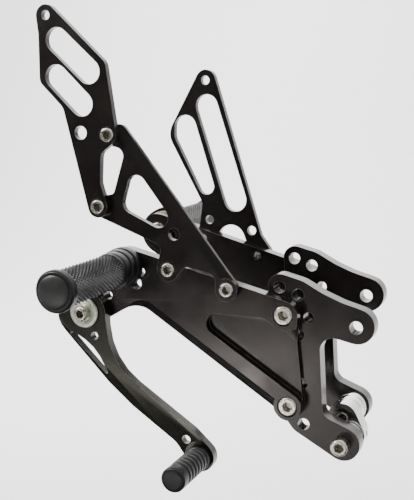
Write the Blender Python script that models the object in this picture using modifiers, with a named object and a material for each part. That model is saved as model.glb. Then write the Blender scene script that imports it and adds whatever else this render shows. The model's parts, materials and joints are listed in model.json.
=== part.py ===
"""Pair of motorcycle rearsets (foot-peg control sets) joined by a short tie.

Millimetres in the design values, metres in the model.  X runs forward, Z up, and Y across
the bike: the right-hand side (brake) is at -Y and the left-hand side (shift) at +Y.
The origin is on the axis of the lower tie bolt, halfway between the two adapter plates.
Every plate lies in the XZ plane and is stacked outwards from the middle, so its place
across the bike is a distance from the middle, called its level.
"""
import math

import bmesh
import bpy
from mathutils import Matrix, Vector

MM = 0.001
RIGHT, LEFT = -1, 1

# The two sides: same plates, the left set sits a little further back and higher.
SET_OFFSET = {RIGHT: (0.0, 0.0), LEFT: (-5.4, 10.9)}

# Levels across the bike, from the middle outwards.
CLEARANCE = 0.3
ADAPTER_IN = 19.75
ADAPTER_THICK = 11.0
MAIN_THICK = 10.0
GUARD_THICK = 5.0
LEVER_THICK = 7.0
MAIN_IN = ADAPTER_IN + ADAPTER_THICK
MAIN_OUT = MAIN_IN + MAIN_THICK
GUARD_OUT = MAIN_OUT + GUARD_THICK
HANGER_OUT = GUARD_OUT + GUARD_THICK
LEVER_IN = {RIGHT: MAIN_OUT + 1.0, LEFT: GUARD_OUT + 1.0}

# Axes in the XZ plane.
UPPER_LUG = (7.5, 79.6)
LOWER_LUG = (0.0, 0.0)
UPPER_PLATE_BOLT = (-39.0, 85.6)
LOWER_PLATE_BOLT = (-35.2, 24.1)
GUARD_BOLT_REAR = (-119.2, 111.3)
GUARD_BOLT_FRONT = (-76.8, 100.7)
HANGER_BOLT_UPPER = (-161.0, 201.4)
HANGER_BOLT_LOWER = (-168.9, 152.5)
PEG_AXIS = {RIGHT: (-153.7, 110.8), LEFT: (-156.7, 114.8)}

# Main plate's lower edge: a straight run up to an arch, with its face sloped off.
ARCH = (-146.0, 66.6)
ARCH_RADIUS = 16.5
EDGE_NORMAL = (0.5366, 0.8438)
EDGE_WIDTH = 6.6
EDGE_DEPTH = 3.5
EDGE_LENGTH = 117.0
CONE_SHIFT = 9.5
BRAKE_PIVOT = (-181.5, 77.5)
BRAKE_TOE = (-94.6, -16.0)

# The shift lever is the brake lever's shape, on the left peg's own axis and swung higher.
LEVER_AXIS = {RIGHT: BRAKE_PIVOT, LEFT: PEG_AXIS[LEFT]}
LEVER_TURN = {RIGHT: 0.0, LEFT: 17.0}
LEVER_BORE = {RIGHT: 8.0, LEFT: 11.0}

# Flats on the lever's arm: where each one's lower edge starts and ends, width and depth there.
ARM_FLATS = (
    ((-170.3, 26.4), (-103.5, -15.4), 14.0, 1.7),
    ((-214.2, 68.9), (-116.7, -12.5), 9.0, 3.6),
)
TOE_SEAT_RADIUS = 11.0

# Fasteners: head radius, head height, hexagon across flats, shank radius.
M8_SMALL = (5.75, 9.0, 6.0, 4.0)
M8_LOW = (6.5, 5.0, 5.0, 4.0)
M6_LOW = (5.0, 4.0, 4.0, 3.0)
M6_CAP = (5.0, 6.0, 5.0, 3.0)
M5_CAP = (4.25, 5.0, 4.0, 2.5)
HEAD_ROOM = 0.5
HEAD_SUNK = 0.4
SHANK_ROOM = 0.3
TIP_ROOM = 2.0

# Foot peg, measured along its axis from the main plate's outer face.
PEG_LENGTH = 97.0
PEG_RADIUS = 12.4
PEG_BASE_LENGTH = 21.0
BASE_RADII = (14.0, 13.3, 12.7)
PEG_BODY_END = 88.0
PEG_RING_END = 95.0
PEG_RING_RADIUS = 13.5
CAP_RADIUS = 10.75
CAP_BORE = 9.2
SPIGOT_RADIUS = 6.0
SPIGOT_LENGTH = 3.0
PEG_TAP_DEPTH = 22.0

# Toe peg.
TOE_RADIUS = 8.5
TOE_LENGTH = 45.0
TOE_GROOVES = 6
TOE_PITCH = 5.5
TOE_TAP_DEPTH = 16.0

# Tie between the two adapters.
TIE_RADIUS = 10.5
RIGHT_SPACER_RADIUS = 8.0
TIE_BLOCK_NEAR = -10.75
TIE_BLOCK_FAR = 1.75

BLACK = ((0.022, 0.020, 0.021, 1.0), 0.38, 0.9)
DARK = ((0.03, 0.03, 0.032, 1.0), 0.5, 0.6)
STEEL = ((0.72, 0.71, 0.66, 1.0), 0.25, 1.0)
CHROME = ((0.80, 0.80, 0.79, 1.0), 0.08, 1.0)
BRONZE = ((0.55, 0.48, 0.34, 1.0), 0.3, 1.0)

ARC_STEP = math.radians(15)


# ---------------------------------------------------------------- scene

def clear_scene():
    for obj in list(bpy.data.objects):
        bpy.data.objects.remove(obj, do_unlink=True)


def new_collection(name):
    collection = bpy.data.collections.new(name)
    bpy.context.scene.collection.children.link(collection)
    return collection


clear_scene()
PARTS = new_collection("rearset_pair")
CUTTERS = new_collection("cutters")


def material(finish):
    colour, roughness, metallic = finish
    mat = bpy.data.materials.new("finish")
    mat.use_nodes = True
    shader = mat.node_tree.nodes["Principled BSDF"]
    shader.inputs["Base Color"].default_value = colour
    shader.inputs["Roughness"].default_value = roughness
    shader.inputs["Metallic"].default_value = metallic
    return mat


def place_part(obj, name, finish):
    """Name a finished object and put it among the parts."""
    for collection in list(obj.users_collection):
        collection.objects.unlink(obj)
    PARTS.objects.link(obj)
    obj.name = name
    obj.data.name = name
    obj.data.materials.clear()
    obj.data.materials.append(material(finish))
    return obj


def cut(target, cutter):
    """Take the cutter's volume out of the target."""
    if cutter.name not in CUTTERS.objects:
        for collection in list(cutter.users_collection):
            collection.objects.unlink(cutter)
        CUTTERS.objects.link(cutter)
    cutter.hide_render = True
    cutter.display_type = "WIRE"
    boolean = target.modifiers.new("cut_" + cutter.name, "BOOLEAN")
    boolean.operation = "DIFFERENCE"
    boolean.object = cutter


# ---------------------------------------------------------------- outlines

def belt(discs):
    """Outline of a belt run anticlockwise round discs given as (x, z, radius).

    A positive radius is a round corner or lobe inside the belt, a negative one is a
    hollow that the belt bends round from outside, and zero is a sharp corner.
    """
    count = len(discs)
    headings = []
    for i in range(count):
        x0, z0, r0 = discs[i]
        x1, z1, r1 = discs[(i + 1) % count]
        span = math.hypot(x1 - x0, z1 - z0)
        headings.append(math.atan2(z1 - z0, x1 - x0) - math.asin((r1 - r0) / span))
    points = []
    for i in range(count):
        x, z, radius = discs[i]
        start = headings[i - 1] - math.pi / 2
        turn = (headings[i] - headings[i - 1]) % (2 * math.pi)
        if radius < 0:
            turn -= 2 * math.pi
        if radius == 0:
            points.append((x, z))
            continue
        steps = max(1, math.ceil(abs(turn) / ARC_STEP))
        for k in range(steps + 1):
            angle = start + turn * k / steps
            points.append((x + radius * math.cos(angle), z + radius * math.sin(angle)))
    return points


def circle(centre, radius, sides=24):
    steps = [2 * math.pi * k / sides for k in range(sides)]
    return [(centre[0] + radius * math.cos(a), centre[1] + radius * math.sin(a)) for a in steps]


# ---------------------------------------------------------------- solids

def to_mesh_object(curve_obj):
    """Turn a filled curve into a welded mesh object in the same place."""
    depsgraph = bpy.context.evaluated_depsgraph_get()
    mesh = bpy.data.meshes.new_from_object(curve_obj.evaluated_get(depsgraph))
    obj = bpy.data.objects.new(curve_obj.name + "_mesh", mesh)
    obj.matrix_world = curve_obj.matrix_world.copy()
    bpy.context.scene.collection.objects.link(obj)
    weld(mesh)
    bpy.data.objects.remove(curve_obj, do_unlink=True)
    return obj


def weld(mesh):
    work = bmesh.new()
    work.from_mesh(mesh)
    bmesh.ops.remove_doubles(work, verts=work.verts, dist=1e-6)
    bmesh.ops.recalc_face_normals(work, faces=work.faces)
    work.to_mesh(mesh)
    work.free()


def slab(outline, holes, side, level_in, level_out, offset=(0.0, 0.0), origin=(0.0, 0.0)):
    """A flat outline with holes, between two levels on one side of the bike.

    The object's own origin is put at the given point of the outline's plane.
    """
    curve = bpy.data.curves.new("slab", "CURVE")
    curve.dimensions = "2D"
    curve.fill_mode = "BOTH"
    curve.extrude = (level_out - level_in) / 2 * MM
    for loop in [outline] + list(holes):
        spline = curve.splines.new("POLY")
        spline.points.add(len(loop) - 1)
        for point, (x, z) in zip(spline.points, loop):
            point.co = ((x - origin[0]) * MM, (z - origin[1]) * MM, 0.0, 1.0)
        spline.use_cyclic_u = True
    obj = bpy.data.objects.new("slab", curve)
    bpy.context.scene.collection.objects.link(obj)
    middle = side * (level_in + level_out) / 2
    place = Vector((offset[0] + origin[0], middle, offset[1] + origin[1])) * MM
    obj.matrix_world = Matrix.Translation(place) @ Matrix.Rotation(math.radians(90), 4, "X")
    bpy.context.view_layer.update()
    return to_mesh_object(obj)


def turned(profile, side, axis, offset=(0.0, 0.0), steps=24):
    """A solid of revolution about a line across the bike.

    The profile lists (radius, level) from the outermost level to the innermost one,
    starting and ending on the axis unless the piece has a bore right through.
    """
    mesh = bpy.data.meshes.new("turned")
    bored = profile[0][0] > 0
    verts = [(radius * MM, 0.0, level * MM) for radius, level in profile]
    edges = [(k, k + 1) for k in range(len(verts) - 1)]
    if bored:
        edges.append((len(verts) - 1, 0))
    mesh.from_pydata(verts, edges, [])
    obj = bpy.data.objects.new("turned", mesh)
    bpy.context.scene.collection.objects.link(obj)
    screw = obj.modifiers.new("turn", "SCREW")
    screw.axis = "Z"
    screw.steps = steps
    screw.render_steps = steps
    screw.use_merge_vertices = True
    screw.merge_threshold = 1e-6
    screw.use_normal_calculate = True
    tilt = Matrix.Rotation(math.radians(90 if side == RIGHT else -90), 4, "X")
    place = Vector((axis[0] + offset[0], 0.0, axis[1] + offset[1])) * MM
    obj.matrix_world = Matrix.Translation(place) @ tilt
    bpy.context.view_layer.update()
    solid = to_mesh_object(obj)
    solid.data.shade_smooth()
    solid.data.set_sharp_from_angle(angle=math.radians(35))
    return solid


def facet(target, start, end, width, depth, side, level_out, offset=(0.0, 0.0), boss=None):
    """Slope a plate's outer face down towards the edge that runs from start to end.

    The plate is on the left of the edge.  The slope starts width inside the edge and is
    depth below the face where it meets it.  A round boss (x, z, radius) stays uncut.
    """
    run = Vector((end[0] - start[0], 0.0, end[1] - start[1]))
    along = run.normalized()
    inward = Vector((-along.z, 0.0, along.x))
    outer = Vector((0.0, side, 0.0))
    slope = (-inward * width - outer * depth).normalized()
    normal = along.cross(slope)
    if normal.dot(outer) < 0:
        normal = -normal
    size = 40.0
    middle = ((start[0] + end[0]) / 2 + offset[0], (start[1] + end[1]) / 2 + offset[1])
    top = Vector((middle[0], side * level_out, middle[1]))
    centre = top + inward * width + slope * size / 2 + normal * size / 2
    frame = Matrix((along, normal.cross(along), normal)).transposed().to_4x4()
    bpy.ops.mesh.primitive_cube_add(size=1.0)
    box = bpy.context.active_object
    box.name = "facet"
    box.data.transform(Matrix.Diagonal((run.length * MM, size * MM, size * MM, 1.0)))
    box.matrix_world = Matrix.Translation(centre * MM) @ frame
    if boss:
        cut(box, slab(circle(boss[:2], boss[2]), [], side, level_out - 20.0, level_out + 60.0, offset))
    cut(target, box)


def bore(target, centre, radius, side, level_in, level_out, offset=(0.0, 0.0), sides=24):
    cut(target, slab(circle(centre, radius, sides), [], side, level_in, level_out, offset))


def cap_screw(name, kind, centre, side, head_top, tip, offset=(0.0, 0.0), finish=STEEL):
    """A socket-head screw with its head's top and its tip at the given levels."""
    head_radius, head_height, across_flats, shank_radius = kind
    chamfer = 0.6
    under_head = head_top - head_height
    profile = [(0.0, head_top), (head_radius - chamfer, head_top), (head_radius, head_top - chamfer),
               (head_radius, under_head), (shank_radius, under_head), (shank_radius, tip), (0.0, tip)]
    screw = turned(profile, side, centre, offset, steps=16)
    hexagon = circle(centre, across_flats / math.sqrt(3), sides=6)
    depth = head_height * 0.6
    cut(screw, slab(hexagon, [], side, head_top - depth, head_top + 1.0, offset))
    return place_part(screw, name, finish)


def screw_bore(target, kind, centre, side, seat, level_in, offset=(0.0, 0.0)):
    """A clearance hole with a counterbore that the screw's head sits in."""
    head_radius, _, _, shank_radius = kind
    bore(target, centre, shank_radius + SHANK_ROOM, side, level_in - 1.0, seat + 1.0, offset, sides=20)
    bore(target, centre, head_radius + HEAD_ROOM, side, seat - CLEARANCE, seat + 30.0, offset, sides=24)


# ---------------------------------------------------------------- plates

def adapter_plate(side):
    """Plate that bolts to the bike's frame: two lugs, a leg and a ring of position holes."""
    outline = belt([
        (LOWER_LUG[0] + 0.4, LOWER_LUG[1], 11.5),
        (-6.0, 23.3, -8.0),
        (-7.3, 62.3, -9.0),
        (UPPER_LUG[0] + 0.5, UPPER_LUG[1] + 0.8, 11.8),
        (13.3, 153.4, -60.0),
        (-32.5, 98.5, 10.0),
        (-44.3, 103.0, 8.5),
        (-36.0, 24.0, 9.5),
        (-28.0, 12.0, 8.4),
    ])
    outline_holes = [
        circle(UPPER_LUG, 4.4),
        circle((-44.7, 102.6), 4.1, 20),
        circle((-31.9, 98.3), 4.1, 20),
        circle((-24.4, 83.8), 3.5, 16),
        circle((-30.8, 71.4), 3.8, 16),
        circle((-26.7, 10.3), 4.1, 20),
        circle((-27.7, 38.6), 3.6, 16),
        circle(UPPER_PLATE_BOLT, 4.0 + SHANK_ROOM, 20),
        circle(LOWER_PLATE_BOLT, 4.0 + SHANK_ROOM, 20),
        circle(LOWER_LUG, (4.0 if side == RIGHT else 2.5) + SHANK_ROOM, 20),
    ]
    plate = slab(outline, outline_holes, side, ADAPTER_IN, MAIN_IN - CLEARANCE, SET_OFFSET[side])
    return place_part(plate, side_name(side) + "_adapter_plate", BLACK)


def side_name(side):
    return "right" if side == RIGHT else "left"


def main_plate(side):
    """Thick plate that carries the foot peg, the lever and the heel guard."""
    peg = PEG_AXIS[side]
    discs = [
        (LOWER_PLATE_BOLT[0], LOWER_PLATE_BOLT[1], 9.3),
        (-22.8, 67.0, -8.0),
        (UPPER_PLATE_BOLT[0], UPPER_PLATE_BOLT[1], 10.0),
        (peg[0], peg[1], 13.0),
    ]
    if side == RIGHT:
        discs.append((BRAKE_PIVOT[0], BRAKE_PIVOT[1], 11.0))
        discs.append((ARCH[0], ARCH[1], -ARCH_RADIUS))
    discs.append((-49.0, 17.2, -6.0))
    offset = SET_OFFSET[side]
    holes = [
        circle((peg[0] + 12.0, peg[1] - 3.0), 3.3, 16),
        circle((peg[0] + 8.5, peg[1] - 11.5), 4.1, 20),
        circle(peg, 4.0 + SHANK_ROOM, 20),
        circle(GUARD_BOLT_REAR, 3.0 + SHANK_ROOM, 16),
        circle(GUARD_BOLT_FRONT, 3.0 + SHANK_ROOM, 16),
    ]
    if side == RIGHT:
        holes.append(circle((-167.2, 89.3), 3.4, 16))
        holes.append(circle(BRAKE_PIVOT, 3.0 + SHANK_ROOM, 16))
    plate = slab(belt(discs), holes, side, MAIN_IN, MAIN_OUT - CLEARANCE, offset)
    for centre in (UPPER_PLATE_BOLT, LOWER_PLATE_BOLT):
        screw_bore(plate, M8_LOW, centre, side, MAIN_OUT - M8_LOW[1], MAIN_IN, offset)
    seat = MAIN_IN + HEAD_SUNK + M8_LOW[1] + CLEARANCE
    bore(plate, peg, M8_LOW[0] + HEAD_ROOM, side, MAIN_IN - 1.0, seat, offset)
    pocket = belt([(-85.8, 75.7, 7.3), (LOWER_PLATE_BOLT[0], LOWER_PLATE_BOLT[1], -9.5),
                   (-18.0, 16.0, 0.0), (-18.0, 80.0, 0.0),
                   (UPPER_PLATE_BOLT[0], UPPER_PLATE_BOLT[1], -9.8), (-53.5, 77.0, 6.0)])
    cut(plate, slab(pocket, [], side, MAIN_OUT - 6.5, MAIN_OUT + 5.0, offset))
    slope_lower_edge(plate, side, offset)
    return place_part(plate, side_name(side) + "_main_plate", BLACK)


def slope_lower_edge(plate, side, offset):
    """Slope the main plate's lower edge off, as far as the lower bolt's boss.

    On the right the straight slope starts where the arch ends, and a cone carries it on.
    The cone's axis is off the arch's own, so the slope narrows and runs out round the arch.
    """
    face = MAIN_OUT - CLEARANCE
    boss = (LOWER_PLATE_BOLT[0], LOWER_PLATE_BOLT[1], 9.6)
    if side == LEFT:
        facet(plate, (-163.0, 103.4), (-49.0, 24.5), EDGE_WIDTH, EDGE_DEPTH, side, face, offset, boss)
        return
    start = (ARCH[0] + ARCH_RADIUS * EDGE_NORMAL[0], ARCH[1] + ARCH_RADIUS * EDGE_NORMAL[1])
    end = (start[0] + EDGE_NORMAL[1] * EDGE_LENGTH, start[1] - EDGE_NORMAL[0] * EDGE_LENGTH)
    facet(plate, start, end, EDGE_WIDTH, EDGE_DEPTH, side, face, offset, boss)
    cone_axis = (ARCH[0] + CONE_SHIFT * EDGE_NORMAL[0], ARCH[1] + CONE_SHIFT * EDGE_NORMAL[1])
    face_radius = ARCH_RADIUS + EDGE_WIDTH - CONE_SHIFT
    grade = EDGE_WIDTH / EDGE_DEPTH
    profile = [(0.0, face + 1.0), (face_radius + grade, face + 1.0),
               (face_radius - 4.5 * grade, face - 4.5), (0.0, face - 4.5)]
    cut(plate, turned(profile, side, cone_axis, offset, steps=48))


def lower_guard():
    """Right heel guard's lower half: four bolt lobes, a triangular window and a sloped edge."""
    outline = belt([
        (GUARD_BOLT_FRONT[0], GUARD_BOLT_FRONT[1], 7.8),
        (-155.2, 202.7, 6.0),
        (HANGER_BOLT_UPPER[0], HANGER_BOLT_UPPER[1], 7.2),
        (-157.5, 187.2, -6.0),
        (-162.2, 164.7, -4.0),
        (HANGER_BOLT_LOWER[0], HANGER_BOLT_LOWER[1], 7.3),
        (-129.4, 124.4, -5.0),
        (GUARD_BOLT_REAR[0], GUARD_BOLT_REAR[1], 7.9),
        (-104.5, 109.3, -5.0),
        (-90.5, 105.5, -6.0),
    ])
    window = belt([(-125.9, 147.0, 7.2), (-141.7, 167.9, 6.9), (-145.2, 155.5, 6.9)])
    holes = [window,
             circle((-114.3, 136.1), 4.2, 20),
             circle(HANGER_BOLT_UPPER, 3.0 + SHANK_ROOM, 16),
             circle(HANGER_BOLT_LOWER, 3.0 + SHANK_ROOM, 16)]
    plate = slab(outline, holes, RIGHT, MAIN_OUT, GUARD_OUT - CLEARANCE)
    for centre in (GUARD_BOLT_REAR, GUARD_BOLT_FRONT):
        screw_bore(plate, M6_LOW, centre, RIGHT, GUARD_OUT - 3.0, MAIN_OUT)
    facet(plate, (-60.0, 92.0), (-158.5, 216.4), 6.5, 1.8, RIGHT, GUARD_OUT - CLEARANCE,
          boss=(GUARD_BOLT_FRONT[0], GUARD_BOLT_FRONT[1], 7.9))
    return place_part(plate, "right_lower_guard", BLACK)


def upper_guard():
    """Right heel guard's upper half: a plate with two slanted slots and a hanging hole."""
    outline = belt([
        (-206.2, 281.0, 7.4),
        (-222.0, 268.0, -10.0),
        (-204.9, 239.6, 7.0),
        (-203.1, 214.2, -10.0),
        (HANGER_BOLT_LOWER[0], HANGER_BOLT_LOWER[1], 7.3),
        (-160.3, 170.0, -6.3),
        (-160.0, 186.0, -5.8),
        (HANGER_BOLT_UPPER[0], HANGER_BOLT_UPPER[1], 7.0),
        (-168.9, 245.6, 8.0),
    ])
    holes = [belt([(-197.8, 264.6, 8.5), (-174.2, 243.6, 8.5)]),
             belt([(-198.8, 240.0, 8.4), (-179.8, 222.0, 8.4)]),
             circle((-206.2, 281.2), 3.2, 20),
             circle((-180.9, 202.6), 4.6)]
    plate = slab(outline, holes, RIGHT, GUARD_OUT, HANGER_OUT - CLEARANCE)
    for centre in (HANGER_BOLT_UPPER, HANGER_BOLT_LOWER):
        screw_bore(plate, M6_LOW, centre, RIGHT, HANGER_OUT - 3.0, GUARD_OUT)
    return place_part(plate, "right_upper_guard", BLACK)


def left_guard():
    """One-piece left heel guard with two long tapered slots."""
    outline = belt([
        (-121.4, 227.3, 7.7),
        (-136.6, 187.5, 13.5),
        (-132.0, 134.7, -8.0),
        (GUARD_BOLT_REAR[0], GUARD_BOLT_REAR[1], 7.9),
        (-100.5, 110.5, -10.5),
        (GUARD_BOLT_FRONT[0], GUARD_BOLT_FRONT[1], 7.8),
        (-70.0, 118.0, -8.0),
    ])
    holes = [belt([(-120.4, 208.3, 8.7), (-97.7, 139.8, 8.8)]),
             belt([(-137.6, 193.0, 8.7), (-137.4, 187.2, 9.0), (-120.7, 149.0, 6.2)]),
             circle((-121.6, 227.2), 3.3, 20),
             circle((-117.9, 124.0), 3.3, 16),
             circle((-84.4, 117.5), 3.4, 16)]
    offset = SET_OFFSET[LEFT]
    plate = slab(outline, holes, LEFT, MAIN_OUT, GUARD_OUT - CLEARANCE, offset)
    for centre in (GUARD_BOLT_REAR, GUARD_BOLT_FRONT):
        screw_bore(plate, M6_LOW, centre, LEFT, GUARD_OUT - M6_LOW[1], MAIN_OUT, offset)
    return place_part(plate, "left_heel_guard", BLACK)


# ---------------------------------------------------------------- foot peg

def foot_peg(side):
    """Fixed racing peg: stepped base, barrel, end ring, domed cap and the bolt through its foot."""
    name = side_name(side)
    axis = PEG_AXIS[side]
    offset = SET_OFFSET[side]
    foot = MAIN_OUT if side == RIGHT else LEVER_IN[LEFT] + LEVER_THICK + CLEARANCE
    base_end = MAIN_OUT + PEG_BASE_LENGTH
    step = (base_end - foot) / 3
    bolt_bore = 4.0 + SHANK_ROOM
    base = [(bolt_bore, base_end), (BASE_RADII[2], base_end),
            (BASE_RADII[2], foot + 2 * step), (BASE_RADII[1], foot + 2 * step),
            (BASE_RADII[1], foot + step), (BASE_RADII[0], foot + step),
            (BASE_RADII[0], foot), (bolt_bore, foot)]
    place_part(turned(base, side, axis, offset, steps=28), name + "_peg_base", BLACK)

    barrel_in = base_end + CLEARANCE
    barrel_out = MAIN_OUT + PEG_BODY_END
    barrel = [(0.0, barrel_out + SPIGOT_LENGTH), (SPIGOT_RADIUS, barrel_out + SPIGOT_LENGTH),
              (SPIGOT_RADIUS, barrel_out), (PEG_RADIUS, barrel_out), (PEG_RADIUS, barrel_in),
              (bolt_bore, barrel_in), (bolt_bore, barrel_in + PEG_TAP_DEPTH),
              (0.0, barrel_in + PEG_TAP_DEPTH)]
    place_part(turned(barrel, side, axis, offset, steps=32), name + "_peg_barrel", BLACK)

    ring_out = MAIN_OUT + PEG_RING_END
    ring_in = barrel_out + CLEARANCE
    spigot_room = ring_in + SPIGOT_LENGTH + CLEARANCE
    ring = [(CAP_BORE, ring_out), (PEG_RING_RADIUS - 1.0, ring_out), (PEG_RING_RADIUS, ring_out - 1.0),
            (PEG_RING_RADIUS, ring_in), (SPIGOT_RADIUS + CLEARANCE, ring_in),
            (SPIGOT_RADIUS + CLEARANCE, spigot_room), (CAP_BORE, spigot_room)]
    place_part(turned(ring, side, axis, offset, steps=32), name + "_peg_end_ring", BLACK)

    cap_out = MAIN_OUT + PEG_LENGTH
    cap_back = ring_out + CLEARANCE
    plug = CAP_BORE - CLEARANCE
    cap = [(0.0, cap_out), (CAP_RADIUS * 0.6, cap_out - 0.4), (CAP_RADIUS - 0.7, cap_out - 1.1),
           (CAP_RADIUS, cap_back), (plug, cap_back), (plug, spigot_room + CLEARANCE),
           (0.0, spigot_room + CLEARANCE)]
    place_part(turned(cap, side, axis, offset, steps=32), name + "_peg_cap", DARK)

    # The head faces the middle of the bike, so the screw is laid out from the other side.
    tip = barrel_in + PEG_TAP_DEPTH - TIP_ROOM
    cap_screw(name + "_peg_bolt", M8_LOW, axis, -side, -(MAIN_IN + HEAD_SUNK), -tip, offset)


# ---------------------------------------------------------------- levers

def lever_discs():
    """Lever outline about its hub, hanging at the brake lever's rest angle."""
    return [
        (BRAKE_PIVOT[0] - 4.0, BRAKE_PIVOT[1] - 2.4, 17.4),
        (-98.0, 91.0, 92.0),
        (-123.3, -19.2, -15.0),
        (BRAKE_TOE[0], BRAKE_TOE[1], 10.5),
        (-104.7, -5.2, 9.2),
        (-115.4, 71.8, -49.4),
        (BRAKE_PIVOT[0], BRAKE_PIVOT[1], 16.2),
    ]


def turn_about(discs, pivot, angle, shift):
    """Turn (x, z, ...) items about a pivot, then move them."""
    cosine, sine = math.cos(angle), math.sin(angle)
    turned_items = []
    for x, z, *rest in discs:
        dx, dz = x - pivot[0], z - pivot[1]
        turned_items.append((pivot[0] + shift[0] + dx * cosine - dz * sine,
                             pivot[1] + shift[1] + dx * sine + dz * cosine, *rest))
    return turned_items


def lever(side, name):
    """Lever with a thin outer rib, a slit beside it and a faceted arm, on its own axis.

    The arm's outer face falls away in two flats that meet in a ridge: a shallow one that
    stops short of the toe peg's seat, and a steep one along the lower edge.
    """
    pivot = LEVER_AXIS[side]
    shift = (pivot[0] - BRAKE_PIVOT[0], pivot[1] - BRAKE_PIVOT[1])

    def moved(items):
        return turn_about(items, BRAKE_PIVOT, math.radians(LEVER_TURN[side]), shift)

    offset = SET_OFFSET[side]
    level_in = LEVER_IN[side]
    level_out = level_in + LEVER_THICK
    toe_axis = moved([BRAKE_TOE])[0]
    slit = belt(moved([(-192.2, 61.7, 1.3), (-165.9, 35.9, 1.3), (-203.2, 24.2, 40.2)]))
    holes = [slit,
             circle(pivot, LEVER_BORE[side], 32),
             circle(moved([(-104.7, -5.2)])[0], 3.2, 16),
             circle(toe_axis, 3.0 + SHANK_ROOM, 16)]
    if side == RIGHT:
        holes.append(circle((-174.2, 61.3), 2.9, 16))
    arm = slab(belt(moved(lever_discs())), holes, side, level_in, level_out, offset, origin=pivot)
    bore(arm, toe_axis, M6_LOW[0] + HEAD_ROOM, side, level_in - 1.0, level_in + 2.5, offset)
    toe_seat = (*toe_axis, TOE_SEAT_RADIUS)
    for start, end, width, depth in ARM_FLATS:
        start, end = moved([start, end])
        facet(arm, start, end, width, depth, side, level_out, offset, toe_seat)
    place_part(arm, name, BLACK)
    for piece in toe_peg(side, name.split("_")[0], toe_axis, level_in, level_out, offset):
        piece.parent = arm
        piece.matrix_parent_inverse = arm.matrix_world.inverted()


def toe_peg(side, name, axis, level_in, level_out, offset):
    """Grooved toe peg and the flat screw that holds it from the lever's back."""
    foot = level_out + CLEARANCE
    tip = foot + TOE_LENGTH
    bolt_bore = 3.0 + SHANK_ROOM
    profile = [(0.0, tip), (TOE_RADIUS - 0.7, tip), (TOE_RADIUS, tip - 0.7)]
    for k in range(TOE_GROOVES):
        top = tip - 8.0 - k * TOE_PITCH
        profile += [(TOE_RADIUS, top), (TOE_RADIUS - 0.9, top - 0.6),
                    (TOE_RADIUS - 0.9, top - 1.6), (TOE_RADIUS, top - 2.2)]
    tap_end = foot + TOE_TAP_DEPTH
    profile += [(TOE_RADIUS, foot), (bolt_bore, foot), (bolt_bore, tap_end), (0.0, tap_end)]
    peg = place_part(turned(profile, side, axis, offset, steps=20), name + "_toe_peg", BLACK)

    head_top, seat = level_in + HEAD_SUNK, level_in + 2.2
    tip = tap_end - TIP_ROOM
    profile = [(0.0, tip), (3.0, tip), (3.0, seat), (5.0, seat), (5.0, head_top), (0.0, head_top)]
    screw = turned(profile, side, axis, offset, steps=16)
    hexagon = circle(axis, 2.0 / math.cos(math.radians(30)), sides=6)
    cut(screw, slab(hexagon, [], side, level_in - 1.0, level_in + 1.4, offset))
    return [peg, place_part(screw, name + "_toe_bolt", STEEL)]


def brake_pivot():
    """Flanged bush, washer and bolt that the brake lever swings on."""
    level_in = LEVER_IN[RIGHT]
    level_out = level_in + LEVER_THICK
    bush = [(3.0 + SHANK_ROOM, level_out + 0.3), (7.7, level_out + 0.3), (7.7, MAIN_OUT + 0.3),
            (3.0 + SHANK_ROOM, MAIN_OUT + 0.3)]
    place_part(turned(bush, RIGHT, BRAKE_PIVOT, steps=32), "brake_lever_bush", BRONZE)
    washer = [(3.0 + SHANK_ROOM, level_out + 1.4), (6.6, level_out + 1.4), (7.2, level_out + 2.4),
              (10.4, level_out + 2.4), (11.0, level_out + 1.8), (11.0, level_out + 0.6),
              (3.0 + SHANK_ROOM, level_out + 0.6)]
    place_part(turned(washer, RIGHT, BRAKE_PIVOT, steps=32), "brake_pivot_washer", STEEL)
    head_top = level_out + 1.7 + M6_CAP[1]
    cap_screw("brake_pivot_bolt", M6_CAP, BRAKE_PIVOT, RIGHT, head_top, MAIN_IN + 0.5)


def shift_pivot():
    """Flanged bush round the left peg's foot that the shift lever swings on."""
    lever_out = LEVER_IN[LEFT] + LEVER_THICK
    bush = [(4.0 + SHANK_ROOM, lever_out), (10.7, lever_out), (10.7, LEVER_IN[LEFT] - CLEARANCE),
            (13.5, LEVER_IN[LEFT] - CLEARANCE), (13.5, MAIN_OUT), (4.0 + SHANK_ROOM, MAIN_OUT)]
    bush_piece = turned(bush, LEFT, PEG_AXIS[LEFT], SET_OFFSET[LEFT], steps=32)
    place_part(bush_piece, "shift_lever_bush", BRONZE)


# ---------------------------------------------------------------- tie

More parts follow.
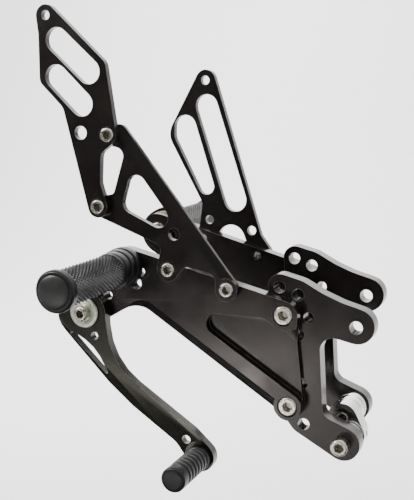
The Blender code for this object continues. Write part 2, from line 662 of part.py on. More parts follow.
def tie():
    """Chromed block and spacers that hold the two adapters' lower lugs together."""
    offset = SET_OFFSET[LEFT]
    block = slab(belt([(0.0, 0.0, TIE_RADIUS), (offset[0], offset[1], TIE_RADIUS)]),
                 [circle(LOWER_LUG, 4.0 + SHANK_ROOM, 20), circle(offset, 2.5 + SHANK_ROOM, 16)],
                 LEFT, TIE_BLOCK_NEAR, TIE_BLOCK_FAR)
    pin_axis = Vector((TIE_RADIUS, (TIE_BLOCK_NEAR + TIE_BLOCK_FAR) / 2, 0.0))
    cut(block, radial_cylinder(2.3, 9.0, pin_axis + Vector((2.0, 0.0, 0.0))))
    bore(block, offset, M5_CAP[0] + HEAD_ROOM, LEFT, TIE_BLOCK_NEAR - 5.0,
         TIE_BLOCK_NEAR + M5_CAP[1] + 2 * CLEARANCE, sides=20)
    place_part(block, "tie_block", CHROME)

    spacer = [(4.0 + SHANK_ROOM, ADAPTER_IN - CLEARANCE), (RIGHT_SPACER_RADIUS, ADAPTER_IN - CLEARANCE),
              (RIGHT_SPACER_RADIUS, -TIE_BLOCK_NEAR + CLEARANCE),
              (4.0 + SHANK_ROOM, -TIE_BLOCK_NEAR + CLEARANCE)]
    place_part(turned(spacer, RIGHT, LOWER_LUG, steps=28), "tie_spacer_right", CHROME)
    spacer = [(2.5 + SHANK_ROOM, ADAPTER_IN - CLEARANCE), (TIE_RADIUS, ADAPTER_IN - CLEARANCE),
              (TIE_RADIUS, TIE_BLOCK_FAR + CLEARANCE), (2.5 + SHANK_ROOM, TIE_BLOCK_FAR + CLEARANCE)]
    place_part(turned(spacer, LEFT, LOWER_LUG, offset, steps=28), "tie_spacer_left", CHROME)

    cap_screw("tie_bolt_right", M8_SMALL, LOWER_LUG, RIGHT, MAIN_IN + M8_SMALL[1], -TIE_BLOCK_FAR + 1.0)
    tie_bolt_left(offset)
    screw = radial_cylinder(2.0, 5.0, pin_axis - Vector((1.2, 0.0, 0.0)))
    place_part(screw, "tie_set_screw", STEEL)


def tie_bolt_left(offset):
    """Screw sunk in the block's right face, through the left spacer into the left lug."""
    head_radius, head_height, across_flats, shank_radius = M5_CAP
    head_top = -TIE_BLOCK_NEAR - CLEARANCE
    seat = head_top - head_height
    tip = -(ADAPTER_IN + 9.0)
    profile = [(0.0, head_top), (head_radius - 0.6, head_top), (head_radius, head_top - 0.6),
               (head_radius, seat), (shank_radius, seat), (shank_radius, tip), (0.0, tip)]
    screw = turned(profile, RIGHT, (0.0, 0.0), offset, steps=20)
    hexagon = circle((0.0, 0.0), across_flats / math.sqrt(3), sides=6)
    cut(screw, slab(hexagon, [], RIGHT, head_top - 3.0, head_top + 1.0, offset))
    place_part(screw, "tie_bolt_left", STEEL)


def radial_cylinder(radius, length, outer_end):
    """A cylinder lying along X whose +X end is at the given point."""
    bpy.ops.mesh.primitive_cylinder_add(vertices=16, radius=radius * MM, depth=length * MM)
    obj = bpy.context.active_object
    centre = outer_end - Vector((length / 2, 0.0, 0.0))
    obj.matrix_world = Matrix.Translation(centre * MM) @ Matrix.Rotation(math.radians(90), 4, "Y")
    return obj


# ---------------------------------------------------------------- assembly

def plate_screws(side):
    offset = SET_OFFSET[side]
    name = side_name(side)
    tip = ADAPTER_IN + 1.0
    cap_screw(name + "_adapter_bolt_upper", M8_LOW, UPPER_PLATE_BOLT, side, MAIN_OUT, tip, offset)
    cap_screw(name + "_adapter_bolt_lower", M8_LOW, LOWER_PLATE_BOLT, side, MAIN_OUT, tip, offset)
    proud = 1.0 if side == RIGHT else 0.0
    for place, centre in (("rear", GUARD_BOLT_REAR), ("front", GUARD_BOLT_FRONT)):
        cap_screw(name + "_guard_bolt_" + place, M6_LOW, centre, side, GUARD_OUT + proud, MAIN_IN, offset)


def build():
    for side in (RIGHT, LEFT):
        adapter_plate(side)
        main_plate(side)
        plate_screws(side)
        foot_peg(side)
    lower_guard()
    upper_guard()
    left_guard()
    cap_screw("right_hanger_bolt_upper", M6_LOW, HANGER_BOLT_UPPER, RIGHT, HANGER_OUT + 1.0, MAIN_OUT + 0.5)
    cap_screw("right_hanger_bolt_lower", M6_LOW, HANGER_BOLT_LOWER, RIGHT, HANGER_OUT + 1.0, MAIN_OUT + 0.5)
    lever(RIGHT, "brake_lever")
    lever(LEFT, "shift_lever")
    brake_pivot()
    shift_pivot()
    tie()


build()
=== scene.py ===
"""Looks of the rearset pair: finer shapes, finishes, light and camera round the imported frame.

Everything is in metres in the frame's own axes: X forward, Y across the bike, Z up.  The
right-hand set is at -Y, nearest the camera, and each set's outer side faces away from Y = 0.
"""
import json
import math

import bmesh
import bpy
from mathutils import Matrix, Vector


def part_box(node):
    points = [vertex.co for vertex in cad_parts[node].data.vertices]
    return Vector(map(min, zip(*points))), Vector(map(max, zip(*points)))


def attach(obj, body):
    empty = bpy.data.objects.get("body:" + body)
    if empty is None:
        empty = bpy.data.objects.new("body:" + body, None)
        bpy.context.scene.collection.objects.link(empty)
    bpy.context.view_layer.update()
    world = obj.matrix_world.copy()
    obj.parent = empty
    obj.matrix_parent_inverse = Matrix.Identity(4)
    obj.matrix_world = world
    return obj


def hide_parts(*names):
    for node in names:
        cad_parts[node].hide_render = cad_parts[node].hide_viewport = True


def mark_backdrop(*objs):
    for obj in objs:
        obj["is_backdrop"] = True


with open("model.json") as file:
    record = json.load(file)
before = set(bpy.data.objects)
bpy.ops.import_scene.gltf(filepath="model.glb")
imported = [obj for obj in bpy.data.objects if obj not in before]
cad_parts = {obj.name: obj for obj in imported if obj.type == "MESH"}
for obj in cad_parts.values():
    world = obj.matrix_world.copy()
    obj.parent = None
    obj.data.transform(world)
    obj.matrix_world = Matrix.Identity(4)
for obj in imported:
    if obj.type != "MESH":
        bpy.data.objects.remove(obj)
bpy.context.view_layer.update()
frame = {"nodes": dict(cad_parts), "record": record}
NODES = frame["nodes"]
MM = 0.001


# ---------------------------------------------------------------- node helpers

class Shader:
    """A material's node tree with short calls for the nodes used here."""

    def __init__(self, name):
        self.mat = bpy.data.materials.new(name)
        self.mat.use_nodes = True
        self.tree = self.mat.node_tree
        self.bsdf = self.tree.nodes["Principled BSDF"]
        self.coords = self.tree.nodes.new("ShaderNodeTexCoord").outputs["Object"]

    def fixed(self, **values):
        """Set constant sockets, named with underscores for spaces."""
        for name, value in values.items():
            self.bsdf.inputs[name.replace("_", " ")].default_value = value

    def link(self, source, target):
        self.tree.links.new(source, target)

    def node(self, kind, inputs=None, **settings):
        made = self.tree.nodes.new(kind)
        for name, value in settings.items():
            setattr(made, name, value)
        for name, value in (inputs or {}).items():
            if isinstance(value, bpy.types.NodeSocket):
                self.link(value, made.inputs[name])
            else:
                made.inputs[name].default_value = value
        return made

    def noise(self, scale, detail=3.0, stretch=(1.0, 1.0, 1.0)):
        mapping = self.node("ShaderNodeMapping", {"Vector": self.coords, "Scale": stretch})
        texture = self.node("ShaderNodeTexNoise", {"Vector": mapping.outputs["Vector"], "Scale": scale,
                                                   "Detail": detail, "Roughness": 0.55})
        return texture.outputs["Fac"]

    def ramp(self, value, *stops):
        """Colour ramp through (position, colour) stops, a bare number being a grey."""
        made = self.node("ShaderNodeValToRGB", {"Fac": value})
        elements = made.color_ramp.elements
        while len(elements) < len(stops):
            elements.new(0.5)
        for element, (position, colour) in zip(elements, stops):
            element.position = position
            if not isinstance(colour, tuple):
                colour = (colour, colour, colour)
            element.color = (*colour, 1.0)
        return made.outputs["Color"]

    def math(self, operation, a, b=0.0):
        made = self.node("ShaderNodeMath", {0: a, 1: b}, operation=operation)
        return made.outputs["Value"]

    def mix(self, factor, first, second):
        made = self.node("ShaderNodeMix", data_type="RGBA")
        for socket, value in ((made.inputs[0], factor), (made.inputs[6], first), (made.inputs[7], second)):
            if isinstance(value, bpy.types.NodeSocket):
                self.link(value, socket)
            elif isinstance(value, tuple):
                socket.default_value = (*value, 1.0)
            else:
                socket.default_value = value
        return made.outputs[2]

    def edge_mask(self, radius):
        """1 on edges narrower than the radius, 0 on flats."""
        rounded = self.node("ShaderNodeBevel", {"Radius": radius}, samples=4).outputs["Normal"]
        plain = self.node("ShaderNodeNewGeometry").outputs["Normal"]
        dot = self.node("ShaderNodeVectorMath", {0: rounded, 1: plain}, operation="DOT_PRODUCT")
        return self.ramp(dot.outputs["Value"], (0.90, 1.0), (0.995, 0.0))

    def bump(self, height, distance, strength=1.0):
        made = self.node("ShaderNodeBump", {"Height": height, "Distance": distance, "Strength": strength})
        self.link(made.outputs["Normal"], self.bsdf.inputs["Normal"])


def anodised(name, dark, light, sheen_tint):
    """Black anodised aluminium: a dark film with a faint tint, milling marks, and lighter edges that are
    partly wear and partly a painted highlight along the creases.
    """
    s = Shader(name)
    s.fixed(Metallic=0.0, IOR=1.62)
    cloud = s.noise(28.0, 4.0)
    tint = s.mix(s.ramp(cloud, (0.35, 0.0), (0.70, 1.0)), dark, light)
    # Lighter colour on the broken edges: partly rubbed wear, partly a painted highlight for the light that
    # the creases catch.
    lighter_edges = s.math("MULTIPLY", s.edge_mask(0.0007), s.ramp(s.noise(160.0), (0.38, 0.15), (0.62, 0.75)))
    s.link(s.mix(lighter_edges, tint, (0.20, 0.19, 0.18)), s.bsdf.inputs["Base Color"])
    s.fixed(Specular_Tint=(*sheen_tint, 1.0))
    smudge = s.ramp(s.noise(45.0, 5.0), (0.30, 0.16), (0.72, 0.27))
    s.link(smudge, s.bsdf.inputs["Roughness"])
    milling = s.noise(700.0, 2.0, stretch=(1.0, 1.0, 6.0))
    s.bump(milling, 0.000008, 0.2)
    return s.mat


SOCKET_LIMIT = 0.0075
TURNING_MARKS = 24000.0


def turned_steel(name, colour, stain, rough, socket_radius=0.0):
    """Bright turned metal with fine circular marks about each piece's own Y axis.

    Inside the socket, which is never deeper than the limit, it is painted dark and broken up by noise: a
    painted shade for the recess.
    """
    s = Shader(name)
    s.fixed(Metallic=1.0)
    split = s.node("ShaderNodeSeparateXYZ", {"Vector": s.coords})
    square = s.math("ADD", s.math("POWER", split.outputs["X"], 2.0), s.math("POWER", split.outputs["Z"], 2.0))
    radius = s.math("SQRT", square)
    rings = s.math("SINE", s.math("MULTIPLY", radius, TURNING_MARKS))
    dull = s.ramp(s.noise(420.0, 4.0), (0.35, 0.0), (0.75, 1.0))
    clean = s.mix(dull, colour, stain)
    in_socket = s.math("LESS_THAN", radius, socket_radius)
    in_socket = s.math("MULTIPLY", in_socket, s.math("LESS_THAN", split.outputs["Y"], SOCKET_LIMIT))
    # Painted shade: the inside of the hex socket is darkened to stand in for the shade in the recess.
    socket_shade = s.math("MULTIPLY", in_socket, s.ramp(s.noise(700.0), (0.35, 0.45), (0.65, 0.90)))
    s.link(s.mix(socket_shade, clean, (0.16, 0.135, 0.11)), s.bsdf.inputs["Base Color"])
    s.link(s.ramp(s.noise(900.0), (0.3, rough * 0.75), (0.7, rough * 1.35)), s.bsdf.inputs["Roughness"])
    s.bump(rings, 0.000006, 0.35)
    return s.mat


def chrome_finish():
    """Polished plate: mirror bright with a few soft polishing swirls."""
    s = Shader("polished_link")
    s.fixed(Metallic=1.0)
    cloud = s.noise(60.0, 3.0)
    s.link(s.ramp(cloud, (0.3, (0.80, 0.80, 0.79)), (0.7, (0.90, 0.90, 0.88))), s.bsdf.inputs["Base Color"])
    s.link(s.ramp(s.noise(140.0, 4.0), (0.3, 0.10), (0.75, 0.22)), s.bsdf.inputs["Roughness"])
    s.bump(s.noise(300.0, 2.0), 0.00003, 0.3)
    return s.mat


def peg_black():
    """Black anodised peg: worn grey on the crests of its knurl, where boots rub it."""
    s = Shader("peg_black")
    s.fixed(Metallic=0.0, IOR=1.50)
    grime = s.ramp(s.noise(90.0, 4.0), (0.35, (0.004, 0.004, 0.0042)), (0.7, (0.009, 0.0085, 0.0085)))
    lighter_edges = s.math("MULTIPLY", s.edge_mask(0.0006), s.ramp(s.noise(220.0), (0.4, 0.1), (0.65, 0.7)))
    s.link(s.mix(lighter_edges, grime, (0.13, 0.13, 0.13)), s.bsdf.inputs["Base Color"])
    s.link(s.ramp(s.noise(130.0), (0.3, 0.28), (0.7, 0.45)), s.bsdf.inputs["Roughness"])
    s.bump(s.noise(1500.0), 0.00002, 0.4)
    return s.mat


def cap_plastic():
    """Moulded dark grey cap with a fine even grain and a slight sheen."""
    s = Shader("cap_plastic")
    s.fixed(Metallic=0.0, IOR=1.50)
    cloud = s.noise(70.0, 4.0)
    grey = s.ramp(cloud, (0.3, (0.020, 0.0205, 0.0205)), (0.7, (0.034, 0.035, 0.034)))
    s.link(grey, s.bsdf.inputs["Base Color"])
    s.link(s.ramp(s.noise(200.0), (0.3, 0.30), (0.7, 0.42)), s.bsdf.inputs["Roughness"])
    s.bump(s.noise(2600.0, 2.0), 0.00003, 0.5)
    return s.mat


PLATE = anodised("black_anodised", (0.0062, 0.0053, 0.0049), (0.0130, 0.0104, 0.0096), (1.0, 0.93, 0.90))
LEVER = anodised("lever_anodised", (0.0040, 0.0039, 0.0030), (0.0100, 0.0094, 0.0064), (1.0, 0.97, 0.84))
PEG = peg_black()
CAP = cap_plastic()
STEEL = turned_steel("stainless", (0.84, 0.81, 0.74), (0.66, 0.61, 0.52), 0.24, socket_radius=0.0028)
WASHER = turned_steel("washer_steel", (0.76, 0.82, 0.70), (0.62, 0.65, 0.53), 0.36)
BRONZE = turned_steel("bronze", (0.34, 0.29, 0.21), (0.24, 0.19, 0.13), 0.34)
CHROME = chrome_finish()


# ---------------------------------------------------------------- mesh helpers

def new_object(name, mesh, finish):
    obj = bpy.data.objects.new(name, mesh)
    bpy.context.scene.collection.objects.link(obj)
    mesh.materials.clear()
    mesh.materials.append(finish)
    return obj


def centre_of(node):
    low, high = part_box(node)
    return (Vector(low) + Vector(high)) / 2


def body_of_node(node):
    for name, nodes in frame["record"]["behaviour"]["bodies"].items():
        if node in nodes:
            return name
    raise KeyError(node)


def stands_for(obj, node):
    """The finer piece takes the CAD node's place on its body."""
    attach(obj, body_of_node(node))
    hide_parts(node)
    return obj


def smooth(mesh, degrees=35.0):
    mesh.shade_smooth()
    mesh.set_sharp_from_angle(angle=math.radians(degrees))


def machined_copy(node, finish, width=0.5, segments=3):
    """The CAD shape with its flats made whole and every edge broken by a small round."""
    mesh = NODES[node].data.copy()
    work = bmesh.new()
    work.from_mesh(mesh)
    bmesh.ops.remove_doubles(work, verts=work.verts, dist=1e-6)
    bmesh.ops.dissolve_limit(work, angle_limit=math.radians(1.0), verts=work.verts, edges=work.edges)
    work.to_mesh(mesh)
    work.free()
    smooth(mesh)
    obj = new_object(node + "_fine", mesh, finish)
    obj.matrix_world = NODES[node].matrix_world.copy()
    bevel = obj.modifiers.new("broken_edges", "BEVEL")
    bevel.width = width * MM
    bevel.segments = segments
    bevel.limit_method = "ANGLE"
    bevel.angle_limit = math.radians(25.0)
    bevel.use_clamp_overlap = True
    bevel.harden_normals = True
    return stands_for(obj, node)


def rounded(profile, radius):
    """Profile with each inner corner replaced by a short arc of at most the given radius."""
    points = [profile[0]]
    for before, corner, after in zip(profile, profile[1:], profile[2:]):
        a, b, c = Vector(before), Vector(corner), Vector(after)
        reach = min(radius, (a - b).length * 0.45, (c - b).length * 0.45)
        start = b + (a - b).normalized() * reach
        end = b + (c - b).normalized() * reach
        for k in range(4):
            t = k / 3
            points.append(tuple(start * (1 - t) ** 2 + b * 2 * t * (1 - t) + end * t ** 2))
    points.append(profile[-1])
    return points


def turned_ring(work, radii, y):
    """Ring of points about Y at the given level, one for each radius in the list."""
    ring = []
    for k, radius in enumerate(radii):
        angle = 2 * math.pi * k / len(radii)
        ring.append(work.verts.new((radius * math.cos(angle) * MM, y * MM, radius * math.sin(angle) * MM)))
    return ring


def bridge(work, first, second):
    """Four-sided faces between two rings of as many points."""
    for k in range(len(first)):
        n = (k + 1) % len(first)
        work.faces.new((first[k], first[n], second[n], second[k]))


def finished_mesh(name, work, degrees=35.0):
    bmesh.ops.recalc_face_normals(work, faces=work.faces)
    mesh = bpy.data.meshes.new(name)
    work.to_mesh(mesh)
    work.free()
    smooth(mesh, degrees)
    return mesh


def lathe(name, profile, sides):
    """Mesh turned about Y from (radius, y) points in millimetres, running from -Y to +Y.

    A closed ring is made when the first and last points are the same.
    """
    work = bmesh.new()
    rings = []
    for radius, y in profile:
        if radius < 1e-6:
            rings.append([work.verts.new((0.0, y * MM, 0.0))])
        else:
            rings.append(turned_ring(work, [radius] * sides, y))
    for first, second in zip(rings, rings[1:]):
        if len(first) == len(second):
            bridge(work, first, second)
            continue
        for k in range(sides):
            n = (k + 1) % sides
            if len(first) == 1:
                work.faces.new((first[0], second[n], second[k]))
            else:
                work.faces.new((first[k], first[n], second[0]))
    bmesh.ops.remove_doubles(work, verts=work.verts, dist=1e-7)
    return finished_mesh(name, work)


def length_of(node):
    """Length along Y in millimetres."""
    low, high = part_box(node)
    return (high[1] - low[1]) / MM


def side_of(node):
    return -1.0 if centre_of(node).y < 0 else 1.0


def place_turned(node, mesh, finish, flip=False):
    """Put a turned mesh, drawn outwards from y = 0 at the node's outer end, in the node's place."""
    low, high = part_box(node)
    outwards = side_of(node) * (-1.0 if flip else 1.0)
    centre = centre_of(node)
    tip = low[1] if outwards < 0 else high[1]
    obj = new_object(node + "_fine", mesh, finish)
    turn = Matrix.Identity(4) if outwards < 0 else Matrix.Rotation(math.pi, 4, "X")
    obj.matrix_world = Matrix.Translation((centre.x, tip, centre.z)) @ turn
    return stands_for(obj, node)


def turn_piece(node, shape, edge, finish, sides=72):
    """Turn the shape, its corners rounded by the edge radius, and put it in the node's place."""
    place_turned(node, lathe(node, rounded(shape, edge), sides), finish)


# ---------------------------------------------------------------- screws

# Head radius, head height, hexagon across flats, shank radius.
SCREW_KINDS = ((6.5, 5.0, 6.0, 4.0), (5.75, 9.0, 6.0, 4.0), (5.0, 4.0, 5.0, 3.0), (4.25, 5.0, 4.0, 2.5))
TALL_HEAD = 6.0
TOE_SCREW = (5.0, 1.8, 4.0, 3.0)
THREAD_PITCH = 1.0
THREAD_DEPTH = 0.35
SOCKET_TURN = math.radians(12)
SCREW_SIDES = 60


def screw_mesh(name, head_radius, head_height, across_flats, shank_radius, length):
    """Socket-head screw with its head at y = 0: chamfered rim, hexagon socket, threaded shank."""
    socket = across_flats / math.sqrt(3)
    deep = head_height * 0.7
    outer = rounded([(head_radius - 1.6, 0.0), (head_radius - 0.75, 0.0), (head_radius, 0.75),
                     (head_radius, head_height), (shank_radius, head_height)], 0.3)
    work = bmesh.new()

    def hexagon(scale, y):
        radii = []
        for k in range(SCREW_SIDES):
            angle = 2 * math.pi * k / SCREW_SIDES
            from_flat = (angle + SOCKET_TURN) % math.radians(60) - math.radians(30)
            radii.append(socket * math.cos(math.radians(30)) / math.cos(from_flat) * scale)
        return turned_ring(work, radii, y)

    thread = []
    turns = int((length - head_height - 2.0) / THREAD_PITCH)
    for k in range(turns):
        y = head_height + 1.5 + k * THREAD_PITCH
        thread += [(shank_radius, y), (shank_radius - THREAD_DEPTH, y + THREAD_PITCH / 2)]
    end = [(shank_radius, length - 0.6), (shank_radius - 0.6, length)]
    rings = [hexagon(0.75, deep + 0.8), hexagon(1.0, deep), hexagon(1.0, 0.35), hexagon(1.12, 0.0)]
    rings += [turned_ring(work, [radius] * SCREW_SIDES, y) for radius, y in outer + thread + end]
    for first, second in zip(rings, rings[1:]):
        bridge(work, first, second)
    work.faces.new(rings[0])
    work.faces.new(rings[-1])
    return finished_mesh(name, work, 32.0)


def fine_screws():
    for node in NODES:
        if "bolt" not in node or "toe" in node:
            continue
        low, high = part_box(node)
        across = (high[0] - low[0]) / MM
        radius, height, flats, shank = min(SCREW_KINDS, key=lambda kind: abs(kind[0] * 2 - across))
        if node == "brake_pivot_bolt":
            height = TALL_HEAD
        mesh = screw_mesh(node, radius, height, flats, shank, length_of(node))
        place_screw(node, mesh, "peg_bolt" in node)


def place_screw(node, mesh, flip):
    """The left tie screw lies right across the middle, so its side is given, not measured."""
    if node != "tie_bolt_left":
        return place_turned(node, mesh, STEEL, flip)
    low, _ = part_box(node)
    centre = centre_of(node)
    obj = new_object(node + "_fine", mesh, STEEL)
    obj.matrix_world = Matrix.Translation((centre.x, low[1], centre.z))
    return stands_for(obj, node)


def fine_toe_screws():
    for name in ("brake", "shift"):
        node = name + "_toe_bolt"
        place_turned(node, screw_mesh(node, *TOE_SCREW, length_of(node)), STEEL, flip=True)


# ---------------------------------------------------------------- foot pegs

KNURL_PITCH = 4.28
KNURL_STARTS = 32
KNURL_DEPTH = 1.05
COLLAR = 4.0
PEG_BORE = 4.3
PEG_TAP_DEPTH = 22.0
SPIGOT_RADIUS = 6.0
SPIGOT_LENGTH = 3.0

# Three steps of the peg base, outer end first, and the necks between them.
BASE_RADII = (12.7, 13.3, 14.0)
BASE_NECKS = (12.1, 12.6)
CAP_RADIUS = 10.75
CAP_RISE = 1.7

TOE_RADIUS = 8.5
TOE_GROOVES = 7
TOE_GROOVE_PITCH = 4.9
TOE_GROOVE_RADIUS = 7.35
TOE_TAP_RADIUS = 3.3
TOE_TAP_DEPTH = 16.0


def knurled_rows(first, last, radius):
    """Rows of (y, radii round the ring) for crossed helical grooves.

    On a lattice of half pitches each corner is by turns a tooth's tip and a crossing of
    two grooves, so two neighbouring corners are never alike.
    """
    count = int((last - first) / KNURL_PITCH * 2)
    rows = []
    for j in range(count + 1):
        radii = [radius if (j + k) % 2 else radius - KNURL_DEPTH for k in range(KNURL_STARTS * 2)]
        rows.append((first + (last - first) * j / count, radii))
    return rows


def knurled_mesh(name, plain_start, rows, plain_end):
    """Turned mesh with knurled rows between two plain profiles, closed by a flat at each end."""
    work = bmesh.new()
    sides = KNURL_STARTS * 2
    rings = [turned_ring(work, [radius] * sides, y) for radius, y in plain_start]
    knurled_from = len(rings)
    rings += [turned_ring(work, radii, y) for y, radii in rows]
    knurled_to = len(rings) - 1
    rings += [turned_ring(work, [radius] * sides, y) for radius, y in plain_end]
    for j, (first, second) in enumerate(zip(rings, rings[1:])):
        if not knurled_from <= j < knurled_to:
            bridge(work, first, second)
            continue
        for k in range(sides):
            n = (k + 1) % sides
            if (j - knurled_from + k) % 2:
                work.faces.new((first[k], first[n], second[k]))
                work.faces.new((first[n], second[n], second[k]))
            else:
                work.faces.new((first[k], first[n], second[n]))
                work.faces.new((first[k], second[n], second[k]))
    work.faces.new(rings[0])
    work.faces.new(rings[-1])
    return finished_mesh(name, work)


def fine_barrel(node):
    """Barrel from its spigot at the outer end to a plain collar and a screw hole at the inner end."""
    low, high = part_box(node)
    length = length_of(node)
    radius = (high[0] - low[0]) / 2 / MM
    start = [(SPIGOT_RADIUS, 0.0), (SPIGOT_RADIUS, SPIGOT_LENGTH), (radius - 0.9, SPIGOT_LENGTH),
             (radius - 0.5, SPIGOT_LENGTH + 0.4)]
    rows = knurled_rows(SPIGOT_LENGTH + 0.8, length - COLLAR, radius)
    end = [(radius - 0.5, length - COLLAR + 0.3), (radius, length - COLLAR + 0.9), (radius, length - 0.4),
           (radius - 0.4, length), (PEG_BORE, length), (PEG_BORE, length - PEG_TAP_DEPTH)]
    place_turned(node, knurled_mesh(node, start, rows, end), PEG)


def fine_peg_base(node):
    """Three steps, smallest outwards, with a turned neck between one and the next."""
    length = length_of(node)
    shape = [(PEG_BORE, 0.0), (BASE_RADII[0], 0.0)]
    for k, neck in enumerate(BASE_NECKS):
        y = (k + 1) * (length / 3)
        shape += [(BASE_RADII[k], y - 0.5), (neck, y - 0.2), (neck, y + 0.3), (BASE_RADII[k + 1], y + 0.7)]
    shape += [(BASE_RADII[-1], length), (PEG_BORE, length), (PEG_BORE, 0.0)]
    turn_piece(node, shape, 0.45, PEG)


def fine_peg_end_ring(node):
    """Ring with a slanted outer rim, a seat for the cap and a bore for the barrel's spigot."""
    shape = [(9.2, 0.0), (12.3, 0.0), (13.5, 1.3), (13.5, 5.2), (13.0, 6.7), (6.3, 6.7), (6.3, 3.3),
             (9.2, 3.3), (9.2, 0.0)]
    turn_piece(node, shape, 0.5, PEG)


def fine_peg_cap(node):
    """Domed cap with a plug behind it."""
    dome = []
    for degrees in range(0, 85, 6):
        angle = math.radians(degrees)
        dome.append((CAP_RADIUS * math.sin(angle), CAP_RISE * (1 - math.cos(angle))))
    shape = dome + [(10.6, CAP_RISE), (8.9, CAP_RISE), (8.9, 5.1), (0.0, 5.1)]
    place_turned(node, lathe(node, shape, 72), CAP)


def fine_toe_peg(node):
    """Toe peg with rounded grooves, a plain end land and a slightly crowned tip."""
    length = length_of(node)
    tap_end = length - TOE_TAP_DEPTH
    shape = [(0.0, 0.0), (6.2, 0.0), (7.7, 0.35), (TOE_RADIUS, 1.3), (TOE_RADIUS, 7.4)]
    for k in range(TOE_GROOVES):
        y = 8.0 + k * TOE_GROOVE_PITCH
        shape += [(TOE_RADIUS, y), (TOE_GROOVE_RADIUS, y + 0.75), (TOE_GROOVE_RADIUS, y + 1.75),
                  (TOE_RADIUS, y + 2.5), (TOE_RADIUS, y + 3.6)]
    shape += [(TOE_RADIUS, length - 0.4), (8.1, length), (TOE_TAP_RADIUS, length),
              (TOE_TAP_RADIUS, tap_end), (0.0, tap_end)]
    turn_piece(node, shape, 0.35, PEG, sides=64)


# ---------------------------------------------------------------- pivots and tie

def fine_pivots():
    """Pivot washer with a raised ring, plain brake bush and flanged shift bush."""
    washer = [(3.3, 1.0), (6.3, 1.0), (6.7, 0.0), (7.6, 0.0), (8.0, 0.7), (10.3, 0.7), (11.0, 1.2),
              (11.0, 1.8), (3.3, 1.8), (3.3, 1.0)]
    turn_piece("brake_pivot_washer", washer, 0.25, WASHER)
    length = length_of("brake_lever_bush")
    plain = [(3.3, 0.0), (7.7, 0.0), (7.7, length), (3.3, length), (3.3, 0.0)]
    turn_piece("brake_lever_bush", plain, 0.3, BRONZE)
    length = length_of("shift_lever_bush")
    flanged = [(4.3, 0.0), (10.7, 0.0), (10.7, 7.3), (13.5, 7.3), (13.5, length), (4.3, length), (4.3, 0.0)]
    turn_piece("shift_lever_bush", flanged, 0.3, BRONZE)


def fine_tie():
    """Polished link block, its set screw, and a spacer at each side with a shallow turned groove."""
    block = machined_copy("tie_block", CHROME, 0.8, 4)
    block.modifiers["broken_edges"].angle_limit = math.radians(40.0)
    for node, radius, inner in (("tie_spacer_left", 10.5, 2.8), ("tie_spacer_right", 8.0, 4.3)):
        length = length_of(node)
        shape = [(inner, 0.0), (radius - 0.6, 0.0), (radius, 0.6), (radius, length * 0.42),
                 (radius - 0.5, length * 0.45), (radius - 0.5, length * 0.50), (radius, length * 0.53),
                 (radius, length - 0.6), (radius - 0.6, length), (inner, length), (inner, 0.0)]
        turn_piece(node, shape, 0.3, CHROME)
    machined_copy("tie_set_screw", STEEL, 0.4, 2)


# ---------------------------------------------------------------- build

for plate in ("right_adapter_plate", "left_adapter_plate", "right_main_plate", "left_main_plate",
              "right_lower_guard", "right_upper_guard", "left_heel_guard"):
    machined_copy(plate, PLATE)
for arm in ("brake_lever", "shift_lever"):
    machined_copy(arm, LEVER, 0.6)
fine_screws()
fine_toe_screws()
for hand in ("right", "left"):
    fine_barrel(hand + "_peg_barrel")
    fine_peg_base(hand + "_peg_base")
    fine_peg_end_ring(hand + "_peg_end_ring")
    fine_peg_cap(hand + "_peg_cap")
for toe in ("brake_toe_peg", "shift_toe_peg"):
    fine_toe_peg(toe)
fine_pivots()
fine_tie()


# ---------------------------------------------------------------- stage, light, camera

# Floor level below the origin, then places along Y, the camera's side being negative.
FLOOR_DROP = 0.34
FLOOR_FRONT = -1.30
# Front and back ends of the painted dark band on the floor, which the sloped faces mirror as painted shade.
DARK_BAND_FRONT = -0.80
DARK_BAND_BACK = 0.20
BACK_DISTANCE = 2.4
SWEEP = 1.0


def backdrop():
    """Pale floor that sweeps up into a pale wall at the back.

    A dark band is painted on the floor under the object and in front of it. It is a painted shade, there to
    be mirrored as dark reflections in the sloped faces.  Behind the camera the floor is pale again, so that
    flat faces mirror the pale floor and sloped ones the dark band.
    """
    s = Shader("backdrop")
    s.fixed(Roughness=0.9, IOR=1.3)
    paper = s.ramp(s.noise(2.0, 2.0), (0.3, (0.80, 0.80, 0.80)), (0.7, (0.815, 0.815, 0.815)))
    depth = s.node("ShaderNodeSeparateXYZ", {"Vector": s.coords}).outputs["Y"]
    along = s.math("DIVIDE", s.math("SUBTRACT", depth, FLOOR_FRONT), DARK_BAND_BACK - FLOOR_FRONT)
    dark_band_start = (DARK_BAND_FRONT - FLOOR_FRONT) / (DARK_BAND_BACK - FLOOR_FRONT)
    # Painted shade on the floor: the dark band, there only so that the plates' sloped faces mirror it dark.
    mat = s.ramp(along, (dark_band_start, 0.0), (dark_band_start + 0.05, 1.0), (0.92, 1.0), (1.0, 0.0))
    tone = s.mix(mat, paper, (0.05, 0.05, 0.05))
    s.link(tone, s.bsdf.inputs["Base Color"])
    s.bump(s.noise(60.0), 0.0004, 0.1)
    mesh = bpy.data.meshes.new("floor")
    work = bmesh.new()
    profile = [(FLOOR_FRONT, 0.0)]
    for k in range(13):
        angle = math.radians(90 * k / 12)
        along_y = BACK_DISTANCE - SWEEP + SWEEP * math.sin(angle)
        profile.append((along_y, SWEEP * (1.0 - math.cos(angle))))
    profile.append((BACK_DISTANCE, 4.0))
    rows = []
    for y, z in profile:
        rows.append([work.verts.new((x, y, z - FLOOR_DROP)) for x in (-4.0, 4.0)])
    for first, second in zip(rows, rows[1:]):
        work.faces.new((first[0], first[1], second[1], second[0]))
    work.to_mesh(mesh)
    work.free()
    mesh.shade_smooth()
    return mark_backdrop(new_object("floor", mesh, s.mat))


FRONT_DIM = (0.068, 0.068, 0.069, 1.0)
BACK_BRIGHT = (1.0, 1.0, 1.0, 1.0)
BRIGHT_SIDE = (0.25, 0.75, 0.60)


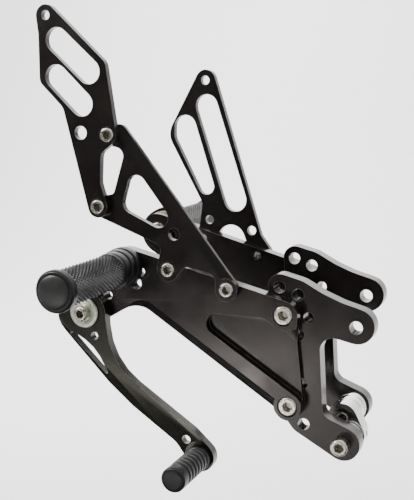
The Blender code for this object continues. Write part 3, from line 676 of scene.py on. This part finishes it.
def world_light():
    """Studio air: dim in front of the object, where its faces look, and bright above and behind."""
    world = bpy.data.worlds.new("studio")
    bpy.context.scene.world = world
    world.use_nodes = True
    tree = world.node_tree
    coords = tree.nodes.new("ShaderNodeTexCoord")
    towards = tree.nodes.new("ShaderNodeVectorMath")
    towards.operation = "DOT_PRODUCT"
    towards.inputs[1].default_value = BRIGHT_SIDE
    tree.links.new(coords.outputs["Generated"], towards.inputs[0])
    ramp = tree.nodes.new("ShaderNodeValToRGB")
    ramp.color_ramp.elements[0].color = FRONT_DIM
    ramp.color_ramp.elements[1].color = BACK_BRIGHT
    spread = tree.nodes.new("ShaderNodeMapRange")
    spread.inputs["From Min"].default_value = -0.7
    spread.inputs["From Max"].default_value = 0.4
    tree.links.new(towards.outputs["Value"], spread.inputs["Value"])
    tree.links.new(spread.outputs["Result"], ramp.inputs["Fac"])
    tree.links.new(ramp.outputs["Color"], tree.nodes["Background"].inputs["Color"])
    tree.nodes["Background"].inputs["Strength"].default_value = 1.0


def area_light(name, place, target, size, power, colour=(1.0, 1.0, 1.0)):
    data = bpy.data.lights.new(name, "AREA")
    data.shape = "RECTANGLE"
    data.size, data.size_y = size
    data.energy = power
    data.color = colour
    lamp = bpy.data.objects.new(name, data)
    bpy.context.scene.collection.objects.link(lamp)
    lamp.location = place
    lamp.rotation_euler = (Vector(target) - Vector(place)).to_track_quat("-Z", "Y").to_euler()
    return lamp


CAMERA_PLACE = (0.1558, -0.64955, 0.2346)
CAMERA_LOOK = (-0.37233, 0.91371, -0.16280)


def camera():
    data = bpy.data.cameras.new("camera")
    data.lens = 72.0
    data.sensor_width = 36.0
    data.sensor_fit = "AUTO"
    data.dof.use_dof = False
    obj = bpy.data.objects.new("camera", data)
    bpy.context.scene.collection.objects.link(obj)
    obj.location = CAMERA_PLACE
    obj.rotation_euler = Vector(CAMERA_LOOK).to_track_quat("-Z", "Y").to_euler()
    bpy.context.scene.camera = obj


backdrop()
world_light()
middle = (-0.09, 0.0, 0.12)
area_light("key", (-1.2, -1.0, 0.9), middle, (0.6, 0.6), 24.0, (1.0, 0.99, 0.97))
area_light("top", (0.1, 0.5, 1.5), middle, (1.4, 1.4), 13.0)
area_light("wall_wash", (-0.9, 0.9, 1.4), (-0.8, 2.4, 0.0), (1.6, 1.6), 124.0)
# Lies on the pale floor behind the camera, and is mirrored in the plates' lower faces.
area_light("low_glow", (-0.50, -1.15, -0.33), (-0.50, -1.15, 1.0), (0.26, 0.46), 2.0, (1.0, 0.98, 0.95))
camera()
